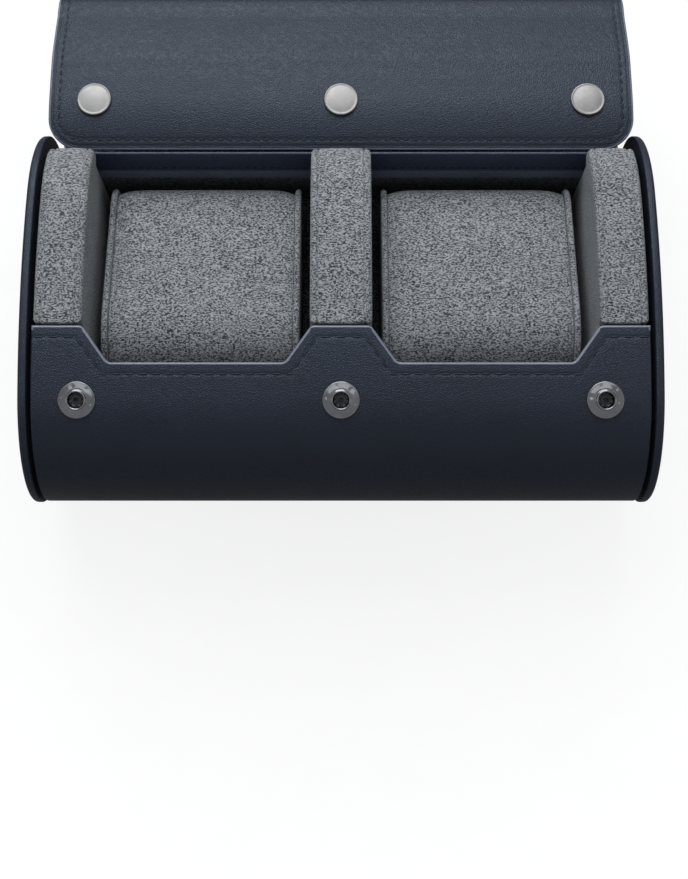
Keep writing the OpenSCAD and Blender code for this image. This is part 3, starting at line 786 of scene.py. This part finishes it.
def flap_grid(k, inset, soft):
    """Columns and distances of the grid of the piece over hinge line k, for a layer cut back by inset."""
    v0, v1 = V_CUTS[k], V_CUTS[k + 1] - (inset if k == 3 else 0)
    side = np.unique(np.round(np.r_[soft * EDGE_STEPS, soft * 1.05 + 0.3, side_lines], 4))
    if k < 3:
        v = np.linspace(v0, v1, int((v1 - v0) / 0.7) + 1)
        middle = np.linspace(-0.88, 0.88, 25)
    else:
        r, side, half = CORNER_R - inset, side[:-1], FLAP_HALF - inset
        v = np.concatenate([np.linspace(v0, v_snap - REACH, int((v_snap - REACH - v0) / 0.8)),
                            v_snap + ring_lines, v1 - r + r * np.sin(np.radians(np.linspace(0, 90, 31)))])
        around = [np.r_[x - REACH, x + ring_lines, x + REACH] / half for x in SNAP_X]
        between = np.linspace(SNAP_X[0] + REACH, -REACH, 11)[1:-1] / half
        middle = np.r_[around[0], between, around[1], -between[::-1], around[2]]
    share = np.r_[-1 + side / 91.0, middle, 1 - side[::-1] / 91.0]
    return share[:, None] * half_width(v, inset), np.broadcast_to(v, (len(share), len(v)))


def round_holes(x, v):
    """Grid points drawn towards rings round each snap, with each point's distance to the nearest hole.

    The square of half width SQUARE becomes the hole's circle and that of REACH stays as it is: with
    m = max(|dx|, |dv|) and b = (REACH - m) / (REACH - SQUARE), a point moves to
    (dx, dv) * (1 - b + b * SOCKET_HOLE * m / (SQUARE * |d|))."""
    x, v, gap = x.copy(), v.copy(), np.full(x.shape, np.inf)
    for sx in SNAP_X:
        dx, dv = x - sx, v - v_snap
        m, d = np.maximum(np.abs(dx), np.abs(dv)), np.maximum(np.hypot(dx, dv), 1e-9)
        b = np.clip((REACH - m) / (REACH - SQUARE), 0, 1)
        scale = 1 - b + b * SOCKET_HOLE * m / (SQUARE * d)
        x, v = sx + dx * scale, v_snap + dv * scale
        gap = np.minimum(gap, np.hypot(x - sx, v - v_snap) - SOCKET_HOLE)
    return x, v, gap


SIDE_SEAM = 3.3
TURNED_DOWN = 1.38  # how much thicker the suede gets at its rim, where it is turned over the board, mm
worst = 0.0
for name, mats, top, under, inset, soft, node_kind, slot_name in (
        ("leather", [leather, leather_edge], 0.0, LEATHER_T, 0.0, 0.6, "leather", "leather_navy"),
        ("board", [greyboard], 1.46, 2.84, 2.3, 0.3, "board", "greyboard"),
        ("suede", [suede], 2.9, 3.8, 0.15, 0.42, "lining", "suede_grey")):
    for k in range(4):
        (x, v), gap, hole = flap_grid(k, inset, soft), np.inf, None
        if k == 3:
            x, v, gap = round_holes(x, v)
            hole = None if name == "leather" else gap < 1e-6
        rim_at, free = rim_distance(x, v), v > v_creases[0] - 6
        near = rim_at - inset if hole is None else np.minimum(rim_at - inset, gap)
        groove, crease = np.exp(-((rim_at - SIDE_SEAM) / 0.5) ** 2), np.exp(-((rim_at - 1.4) / 0.22) ** 2)
        thicker = TURNED_DOWN * np.clip((2.2 - rim_at) / 0.8, 0, 1)
        move = {"leather": (0.15 * groove + 0.12 * crease) * free, "board": 0.0, "suede": -thicker}[name]
        points, faces, rim = slab(lambda depth: on_flap(x, v, depth + move * (depth < (top + under) / 2)),
                                  near, top, under, soft, hole)
        part, miss = bend_over(k, name, points, np.tile(v.ravel(), 2), faces, mats, rim * (len(mats) - 1))
        worst = max(worst, miss)
        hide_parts(BODIES[k + 1] + "_" + node_kind)
print("flap layers: 12 pieces, weights settled to %.1e" % worst)

# %% [markdown]
# The flap's seam runs 3.3 mm inside its rim: up both sides, round the corners and along the free edge.
# It crosses the hinge lines too, so the stitches are made on the closed flap and opened with the leather.

# %% flap stitches
def seam_line(k):
    """The seam of the piece over hinge line k, as (x, v) runs: two sides, or one run round the free edge."""
    v0, v1 = max(V_CUTS[k], v_creases[0] - 5), V_CUTS[k + 1]
    if k < 3:
        v = np.linspace(v0, v1, 60)
        return [(s * (half_width(v, 0.0) - SIDE_SEAM), v) for s in (-1, 1)]
    r = CORNER_R - SIDE_SEAM
    a = np.radians(np.linspace(0, 90, 16))[1:]
    up = np.linspace(v0, V_FREE - CORNER_R, 40)
    x = np.r_[np.full(40, FLAP_HALF - SIDE_SEAM), FLAP_HALF - CORNER_R + r * np.cos(a)]
    v = np.r_[up, V_FREE - CORNER_R + r * np.sin(a)]
    return [(np.r_[x, -x[::-1]], np.r_[v, v[::-1]])]


for k in range(4):
    points, faces = join([seam(x, v, 2.9, 2.15, 0.60, 0.25) for x, v in seam_line(k)])
    x, v, high = points.T
    part, miss = bend_over(k, "stitches", on_flap(x, v, 0.13 - high), v, faces, [thread])
print("flap stitches", sum(len(seam_line(k)) for k in range(4)), "runs")

# %% [markdown]
# ## The back wall
# Behind the pillows a low wall stands across the case. It is faced with navy leather, folded over its
# bevelled top; that leather is a lighter copy of the wrap's, painted light because the wall stands in the
# curled flap's shade. A folded strip could be a bevelled box. Its section is drawn once here, rounded by
# averaging, and carried across the case.

# %% back wall
def softened(y, z, step, reach):
    """A closed outline read off at even steps, its corners rounded: the weighted mean over 2 * reach mm."""
    y, z = np.append(y, y[0]), np.append(z, z[0])
    d = run(y, z)
    count = int(d[-1] / step)
    s, weight = window(reach, 13)
    at = np.mod((np.arange(count) * d[-1] / count)[:, None] + s, d[-1])
    return (np.interp(at, d, y) * weight).sum(1), (np.interp(at, d, z) * weight).sum(1)


BACK_TOP, BACK_LOW = 17.5, 3.1  # over the oval's middle: the bevel's top and its lower end, mm
BEVEL_Y, WALL_Y = 48.30, 45.62  # how far back they lie
WALL_X, HEM_Z = 91.15, 7.6  # the lower hem is folded up to HEM_Z and stands 0.35 mm proud
TIP = 0.02  # what is left of a cap's last ring
slope = (BEVEL_Y - WALL_Y) / (BACK_TOP - BACK_LOW)
wall_y, wall_z = softened(
    [45.27, 45.27 + slope * (HEM_Z - BACK_LOW), WALL_Y + slope * (HEM_Z - 3.0), BEVEL_Y, 49.15, 49.15, 47.60,
     47.60, 46.50],
    [BACK_LOW, HEM_Z, HEM_Z + 0.15, BACK_TOP, BACK_TOP, -15.2, -15.2, 12.0, BACK_LOW], 0.2, 0.55)
wall_x = edge_lines(-WALL_X, WALL_X, 3.0, 0.4)
rings = np.stack(np.broadcast_arrays(wall_x[:, None], wall_y, wall_z + LIFT), -1)
centre = np.array([0.0, wall_y.mean(), wall_z.mean() + LIFT])
first, last = (centre + (ring - centre) * [1, TIP, TIP] for ring in (rings[:1], rings[-1:]))
rings = np.r_[first, rings, last]
faces = quads(len(rings), len(wall_y), closed=True)
face_y, face_z = (rings[..., axis].ravel()[faces].mean(1) for axis in (1, 2))
hem = (face_z - LIFT < HEM_Z - 0.2) & (face_z - LIFT > 3.05) & (face_y < 46.6)
# the wall's leather is the lighter copy, painted light where the flap shades it
dress(piece("back_wall_leather", rings, faces, [facing_leather_painted_light, leather_edge], hem),
      "case", "back_facing")

lean = np.array([BEVEL_Y - WALL_Y, BACK_TOP - BACK_LOW])
lean /= np.linalg.norm(lean)
sides = ((-75.6, -10.4), (10.4, 75.6))  # from pad to divider
points, faces = join([seam(ends, (8.6, 8.6), 2.6, 1.9, 0.75, 0.24) for ends in sides])
x, down, high = points.T
points = np.stack([x, BEVEL_Y - lean[0] * down - lean[1] * (high - 0.03),
                   BACK_TOP + LIFT - lean[1] * down + lean[0] * (high - 0.03)], -1)
dress(piece("back_wall_stitches", points, faces, [thread]), "case")

# the suede on the wall's front face, from the bottom up to the bevel
SUEDE_X, SUEDE_LOW, SUEDE_TOP = 91.0, -19.6, 2.9
sx, sz = np.meshgrid(edge_lines(-SUEDE_X, SUEDE_X, 4.0, 0.3), edge_lines(SUEDE_LOW, SUEDE_TOP, 1.5, 0.3),
                     indexing="ij")
near = np.minimum(SUEDE_X - np.abs(sx), np.minimum(sz - SUEDE_LOW, SUEDE_TOP - sz))
points, faces, rim = slab(lambda depth: np.stack([sx, WALL_Y + depth, sz + LIFT], -1), near, 0.0, 0.85, 0.3)
dress(piece("back_wall_suede", points, faces, [suede_dark]), "case", "back_lining")
print("back wall, top at %.1f mm over the floor" % (BACK_TOP + LIFT))

# %% [markdown]
# ## Padded walls and divider
# The two side walls and the divider are stiff cores wrapped in suede with soft edges. Seen from the side
# each follows the rim of the case. A plain extrusion would look like sawn board. Real suede rounds every
# edge, swells a little between them and shows a fine seam just inside the long edges of the top, so the
# outline is carried across the pad, drawn in at both ends along a quarter circle, and pressed in along
# the two seams.

# %% pad outline
PAD_OUT, ROOM_OUT, PAD_FRONT = -0.6, -4.75, -10.4  # under the rim, under the lining, and the front face, mm


def pad_outline():
    """The pad's outline from the side: the rim on top, the room inside the lining below, corners rounded."""
    top_y, top_z = oval(np.linspace(93.9, 44.0, 60), PAD_OUT)
    low_y, low_z = oval(np.linspace(-46.5, -266.2, 200), ROOM_OUT)
    top, low, step = (top_y > -10.2) & (top_y < 48.4), low_y < 45.4, BACK_TOP + LIFT + 0.1
    y = np.r_[PAD_FRONT, top_y[top], 48.65, 48.65, 45.5, 45.5, low_y[low], PAD_FRONT]
    z = np.r_[oval(94.0, PAD_OUT)[1], top_z[top], oval(42.65, PAD_OUT)[1], step, step, LIFT + 3.0,
              low_z[low], oval(94.0, ROOM_OUT)[1]]
    return softened(y, z, 0.4, 0.9)


def drawn_in(y, z, by):
    """A closed outline moved inwards by a distance, after rounding it the more the further it moves."""
    if by > 0.05:
        s, weight = window(1.0 + by, 13)
        at = (np.arange(len(y))[:, None] + np.round(s / 0.4).astype(int)) % len(y)
        y, z = (y[at] * weight).sum(1), (z[at] * weight).sum(1)
    ny, nz = np.roll(z, -1) - np.roll(z, 1), -(np.roll(y, -1) - np.roll(y, 1))
    size = np.hypot(ny, nz) + 1e-9
    way = np.sign((y * np.roll(z, -1) - np.roll(y, -1) * z).sum())
    return y - way * ny / size * by, z - way * nz / size * by


base_y, base_z = pad_outline()
PAD_SOFT, PAD_SWELL, CAP_SWELL = 1.5, 0.30, 0.22  # rounding of an edge, swell on top and at the sides, mm
PAD_X, PAD_SEAMS = (76.6, 91.0), (78.8, 88.8)  # sides and seams of a side pad, from the case's middle, mm
DIVIDER_X, DIVIDER_SEAM = 9.25, 7.1
SEAM_LINES = np.array([-0.9, -0.6, -0.4, -0.2, 0, 0.2, 0.4, 0.6, 0.9])


def pad(name, x0, x1, seams, seam_in, node_name):
    """A padded wall from x0 to x1: rings of the outline, sunk by PAD_SOFT * (1 - sqrt(1 - e^2)) near both
    ends, raised by PAD_SWELL * (1 - u^2) between them, and pressed in by seam_in along each seam."""
    fine = PAD_SOFT * np.array([0.0, 0.03, 0.10, 0.22, 0.38, 0.58, 0.80, 1.0])
    lines = [np.linspace(x0 + PAD_SOFT, x1 - PAD_SOFT, 9)] + [SEAM_LINES + s for s in seams]
    mid = np.unique(np.round(np.concatenate(lines), 3))
    x = np.r_[x0 + fine[:-1], mid, x1 - fine[-2::-1]]
    e = np.clip(1 - np.minimum(x - x0, x1 - x) / PAD_SOFT, 0, 1)
    u = (x - (x0 + x1) / 2) / ((x1 - x0) / 2)
    by = PAD_SOFT * (1 - np.sqrt(1 - e * e)) - PAD_SWELL * (1 - u * u) + PAD_SWELL
    by += sum(seam_in * np.exp(-((x - s) / 0.35) ** 2) for s in seams)
    outlines = [drawn_in(base_y, base_z, b) for b in by]
    rings = np.array([np.stack([np.full_like(y, q), y, z], -1) for q, (y, z) in zip(x, outlines)])
    centre = np.array([0.0, base_y.mean(), base_z.mean()])
    share = np.array([0.97, 0.9, 0.78, 0.6, 0.4, 0.2, 0.01])[:, None, None]
    caps = []
    for ring, way in ((rings[0], -1), (rings[-1], 1)):
        cap = centre + (ring - centre) * share
        cap[..., 0] = ring[0, 0] + way * CAP_SWELL * (1 - share[..., 0] ** 2)
        caps.append(cap)
    rings = np.r_[caps[0][::-1], rings, caps[1]]
    part = piece(name, rings, quads(len(rings), len(base_y), closed=True), [suede])
    dress(part, "case", node_name)
    return part


divider = pad("divider_suede", -DIVIDER_X, DIVIDER_X, (-DIVIDER_SEAM, DIVIDER_SEAM), 0.50, "divider_cover")
for side, label in ((-1, "left"), (1, "right")):
    pad("side_pad_suede_" + label, *sorted(side * x for x in PAD_X), [side * x for x in PAD_SEAMS], 0.42,
        "side_pad_cover_" + label)
print("pads", len(divider.data.polygons), "faces in the divider")

# %% [markdown]
# ## The watch pillows
# Each pillow is a foam block in a suede sleeve, closed at both ends by a stiff side panel that stands a
# little proud, with a deep line between. The strap of a watch goes round the sleeve. The sleeve could be
# scaled from a cube and smoothed. But it is stuffed, so after its plain shape is worked out, a cloth
# simulation blows it up slightly while its two ends stay sewn to the panels, and the swelling is kept
# under 0.8 mm so that the pillow still lifts out.

# %% pillow shape
TILT = math.radians(16.0)
P_W, P_D, P_H, P_R, P_X = 60.55, 65.5, 41.0, 17.0, 42.925  # width, depth, height, corner radius and place, mm
CORNERS = np.array([9.5, 17.0, 17.0, 17.0])  # their radius, from the rear top over the front to the rear low
PANEL_T, GAP = 2.0, 0.05  # thickness of a side panel, and the line between it and the sleeve
ROOM = -4.65  # how far the lining's inside lies under the oval

# the pillow leans back until it clears the wall, and comes down until its rear low corner meets the lining
clear = [(y - 0.4) * math.cos(TILT) - z * math.sin(TILT) for y, z in ((45.6, 3.0), (48.4, BACK_TOP))]
P_P = min(clear) - P_D / 2
arc_z, seat_r = FLAT_R - HALF_H, FLAT_R + ROOM - P_R - 0.3
seat_p = P_P + P_D / 2 - P_R
seat_c = seat_p ** 2 + 2 * arc_z * seat_p * math.sin(TILT) + arc_z ** 2 - seat_r ** 2
P_Q = arc_z * math.cos(TILT) - math.sqrt((arc_z * math.cos(TILT)) ** 2 - seat_c) + P_H / 2 - P_R


def pillow_ring(inset):
    """The pillow's outline, drawn in by each inset: four quarter circles joined by straight lines.

    Point (y, z) = corner centre + (radius - inset) * (cos a, sin a), leaned back by TILT."""
    deep, high, bend = P_D - 2 * P_R, P_H - 2 * P_R, P_R * np.pi / 2
    d = np.r_[0, np.cumsum([bend, deep, bend, high, bend, deep, bend, high])]
    q = turns * d[-1]
    angle = np.radians(np.interp(q, d, [0, 90, 90, 180, 180, 270, 270, 360, 360]))
    corner = CORNERS[[0, 0, 1, 1, 2, 2, 3, 3, 0]]
    cp = np.interp(q, d, np.array([1, 1, -1, -1, -1, -1, 1, 1, 1]) * (P_D / 2 - corner))
    cq = np.interp(q, d, np.array([1, 1, 1, 1, -1, -1, -1, -1, 1]) * (P_H / 2 - corner))
    r = np.interp(q, d, corner) - np.asarray(inset)[:, None]
    p, z = P_P + cp + r * np.cos(angle), P_Q + cq + r * np.sin(angle)
    return p * math.cos(TILT) + z * math.sin(TILT), -p * math.sin(TILT) + z * math.cos(TILT) + LIFT


BODY_HALF = (P_W - 2 * PANEL_T - 2 * GAP) / 2
turns = np.linspace(0, 1, 109)[:-1]


def sleeve(side):
    """The sleeve before it swells: rings of the outline along x, sunk at both ends, closed by flat discs."""
    outer = np.array([0.83, 0.90, 0.95, 0.985, 1])
    u = np.r_[-outer[::-1], np.linspace(-0.74, 0.74, 17), outer]
    at, inset = [0, 0.72, 0.823, 0.911, 0.97, 1.0], [0.6, 0.62, 0.75, 1.24, 1.75, 2.12]
    y, z = pillow_ring(np.interp(np.abs(u), at, inset))
    rings = np.stack([np.broadcast_to(side * P_X + u[:, None] * BODY_HALF, y.shape), y, z], -1)
    middle = rings.mean(axis=1, keepdims=True)
    share = np.array([0.985, 0.9, 0.7, 0.45, 0.2, 0.02])[:, None, None]
    first = middle[:1] + (rings[:1] - middle[:1]) * share[::-1]
    last = middle[-1:] + (rings[-1:] - middle[-1:]) * share
    return np.r_[first, rings, last]


def panel(side, end):
    """Points and quads of a side panel: rings of the outline along x, with a round rim and closed ends."""
    u = np.sin(np.radians([-90, -90, -75, -60, -45, -25, 0, 25, 45, 60, 75, 90, 90.0]))
    y, z = pillow_ring(0.35 + 0.95 * (1 - np.sqrt(1 - u ** 2)))
    x = side * P_X + end * (P_W / 2 - PANEL_T / 2) + u[:, None] * 0.98
    rings = np.stack([np.broadcast_to(x, y.shape), y, z], -1)
    middle = rings[[0, -1]].mean(axis=1, keepdims=True)
    rings[[0, -1]] = middle + (rings[[0, -1]] - middle) * 0.02
    return rings.reshape(-1, 3), quads(len(rings), len(turns), closed=True)


def read(vertices, key):
    """One vector per vertex, as rows."""
    rows = np.empty(len(vertices) * 3)
    vertices.foreach_get(key, rows)
    return rows.reshape(-1, 3)


def swell(thing, held, pressure=4.0, cap=0.0008):
    """Cloth under pressure for 20 frames with the held points pinned.

    The foam inside lets no point sink, so only the outward part of each move counts, and no more than cap."""
    frames = 20
    before = read(thing.data.vertices, "co")
    pins = thing.vertex_groups.new(name="sewn")
    pins.add(np.flatnonzero(held).tolist(), 1.0, "REPLACE")
    cloth = thing.modifiers.new("swell", "CLOTH")
    s = cloth.settings
    s.quality, s.mass, s.vertex_group_mass = 6, 0.15, "sewn"
    s.tension_stiffness = s.compression_stiffness = 12.0
    s.use_pressure, s.uniform_pressure_force = True, pressure
    s.effector_weights.gravity = 0.0
    cloth.collision_settings.use_collision = False
    cloth.point_cache.frame_start, cloth.point_cache.frame_end = 1, frames
    scene = bpy.context.scene
    for now in range(1, frames + 1):
        scene.frame_set(now)
    settled = thing.evaluated_get(bpy.context.evaluated_depsgraph_get())
    after = read(settled.to_mesh().vertices, "co")
    settled.to_mesh_clear()
    thing.modifiers.remove(cloth)
    thing.vertex_groups.remove(pins)
    scene.frame_set(1)
    outward = read(thing.data.vertices, "normal")
    swollen = np.clip(((after - before) * outward).sum(axis=1), 0, cap)
    thing.data.vertices.foreach_set("co", (before + outward * swollen[:, None]).ravel())
    thing.data.update()
    return float(swollen.max()) * 1000


for side, label in ((-1, "left"), (1, "right")):
    rings = sleeve(side)
    body = piece("pillow_sleeve_" + label, rings, quads(len(rings), len(turns), closed=True), [suede])
    held = (np.abs(np.abs(rings[..., 0] - side * P_X) - BODY_HALF) < 0.3).ravel()
    grown = swell(body, held)
    soft_skin = body.modifiers.new("smooth", "SUBSURF")
    soft_skin.levels = soft_skin.render_levels = 1
    dress(body, "pillow_" + label, "pillow_cover_" + label)
    panels = piece("pillow_panels_" + label, *join([panel(side, end) for end in (-1, 1)]), [suede])
    dress(panels, "pillow_" + label, "pillow_sides_" + label)
    print("pillow", label, "swelled by up to %.2f mm" % grown)

# %% [markdown]
# ## Snaps
# A snap is a cap and a socket on the flap, and a stud on the case. All are turned parts, so each is a
# profile spun about its own axis and set along the leather's normal. The small dents round the stud's
# flange are where a setting tool holds it.

# %% turned parts
spin = np.linspace(0, 2 * np.pi, 73)[:-1]


def spun(profile, off, dents=None):
    """A profile of (radius, height) rows spun about the normal at each snap, off mm from the oval.

    Point = place + r cos(a) * (along the case) + r sin(a) * (round the oval) + h * normal."""
    r, h = (np.asarray(profile, float)[:, axis, None] + 0 * spin for axis in (0, 1))
    if dents is not None:
        h = h - dents(r, spin + 0 * r, h)
    t = math.radians(SNAP_ANGLE)
    y, z = oval(np.array(SNAP_ANGLE), off)
    grid = r[..., None] * np.cos(spin)[:, None] * np.array([1.0, 0, 0]) \
        + r[..., None] * np.sin(spin)[:, None] * np.array([0, -math.sin(t), math.cos(t)]) \
        + h[..., None] * np.array([0, math.cos(t), math.sin(t)])
    return join([((np.array([x, y, z]) + grid).reshape(-1, 3), quads(*r.shape, closed=True)) for x in SNAP_X])


def arc_rows(r0, h0, r, a0, a1, count):
    """Rows (radius, height) along an arc of a profile: centre + r * (cos a, sin a)."""
    a = np.radians(np.linspace(a0, a1, count))
    return list(zip(r0 + r * np.cos(a), h0 + r * np.sin(a)))


dome = [(r, 1.02 - 0.30 * (r / 4.7) ** 2) for r in np.linspace(4.7, 0.02, 12)]
cap_profile = [(0.02, 0.02), (2.5, 0.02), (5.0, 0.02)] + arc_rows(5.02, 0.40, 0.38, -80, 80, 9) + \
    [(4.95, 0.79), (4.82, 0.75)] + dome
points, faces = spun(cap_profile, FLAP_RISE)
caps = piece("snap_cap_domes", opened(3, points, 1.0), faces, [nickel])
dress(caps, "flap_front", "snap_caps")


def tool_marks(r, a, h):
    """Six shallow dents on the flange: 0.16 * exp(-((r - 4.25) / 0.42)^2 - (distance round / 0.55)^2)."""
    step = np.pi / 3
    off_mark = (np.mod(a + 0.3, step) - step / 2) * 4.25
    return 0.16 * np.exp(-((r - 4.25) / 0.42) ** 2 - (off_mark / 0.55) ** 2) * (h > 0.25)


flange_r = np.array([5.0, 4.8, 4.6, 4.4, 4.25, 4.1, 3.9, 3.7, 3.45])
stud_profile = [(2.25, 0.04), (3.6, 0.04), (5.2, 0.04)] + arc_rows(5.25, 0.26, 0.22, -85, 75, 9) + \
    [(r, 0.72 - 0.11 * (r - 3.2) ** 1.6) for r in flange_r] + arc_rows(3.18, 0.95, 0.27, -90, -180, 5) + \
    [(2.88, 1.20), (2.95, 1.45), (3.02, 1.68)] + arc_rows(2.70, 1.85, 0.33, 0, 170, 9) + \
    [(2.32, 1.70), (2.25, 1.2), (2.22, 0.6), (2.25, 0.04)]
studs = piece("snap_stud_rings", *spun(stud_profile, WRAP_OUT, tool_marks), [dark_nickel])
dress(studs, "case", "snap_studs")


def petals(r, a, h):
    """Eight folded petals where the rivet's end was rolled over: a ripple of 0.12 mm, at any height h."""
    return 0.12 * np.cos(8 * a) * np.clip((r - 1.4) / 0.5, 0, 1)


roll_profile = [(1.52, 0.25), (1.75, 0.30), (2.05, 0.42), (2.15, 0.56), (2.0, 0.68), (1.7, 0.65),
                (1.45, 0.50), (1.30, 0.32), (1.32, 0.2), (1.52, 0.2), (1.52, 0.25)]
rolls = piece("snap_rivet_rolls", *spun(roll_profile, WRAP_OUT, petals), [shaded_nickel])
dress(rolls, "case")
print("caps 10.8 mm, studs 11 mm, ring 6.1 mm")

# %% [markdown]
# ## What stays from the CAD model
# Boards, foam cores, rivets, sockets and their spring rings have the right shape already. They only get
# their finish.

# %% finishes of the CAD nodes
KEPT = ((greyboard, ("end_board_left", "end_board_right", "shell_board", "back_board", "divider_board")),
        (foam, ("side_pad_core_left", "side_pad_core_right", "pillow_core_left", "pillow_core_right")),
        (shaded_nickel, ("stud_posts",)), (dark_nickel, ("snap_sockets",)), (nickel, ("snap_springs",)))
for mat, names in KEPT:
    for node_name in names:
        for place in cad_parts[node_name].material_slots:
            place.material = mat
print("kept from the CAD model:", sum(len(names) for mat, names in KEPT), "nodes")

# %% [markdown]
# ## The size
# The dressed case must stay inside the box of the CAD model, apart from a little nap. The box of all that
# is shown, the floor left out, is printed in mm.

# %% size
low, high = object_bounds()
print("visual", [round(v * 1000, 1) for v in (*low, *high)])
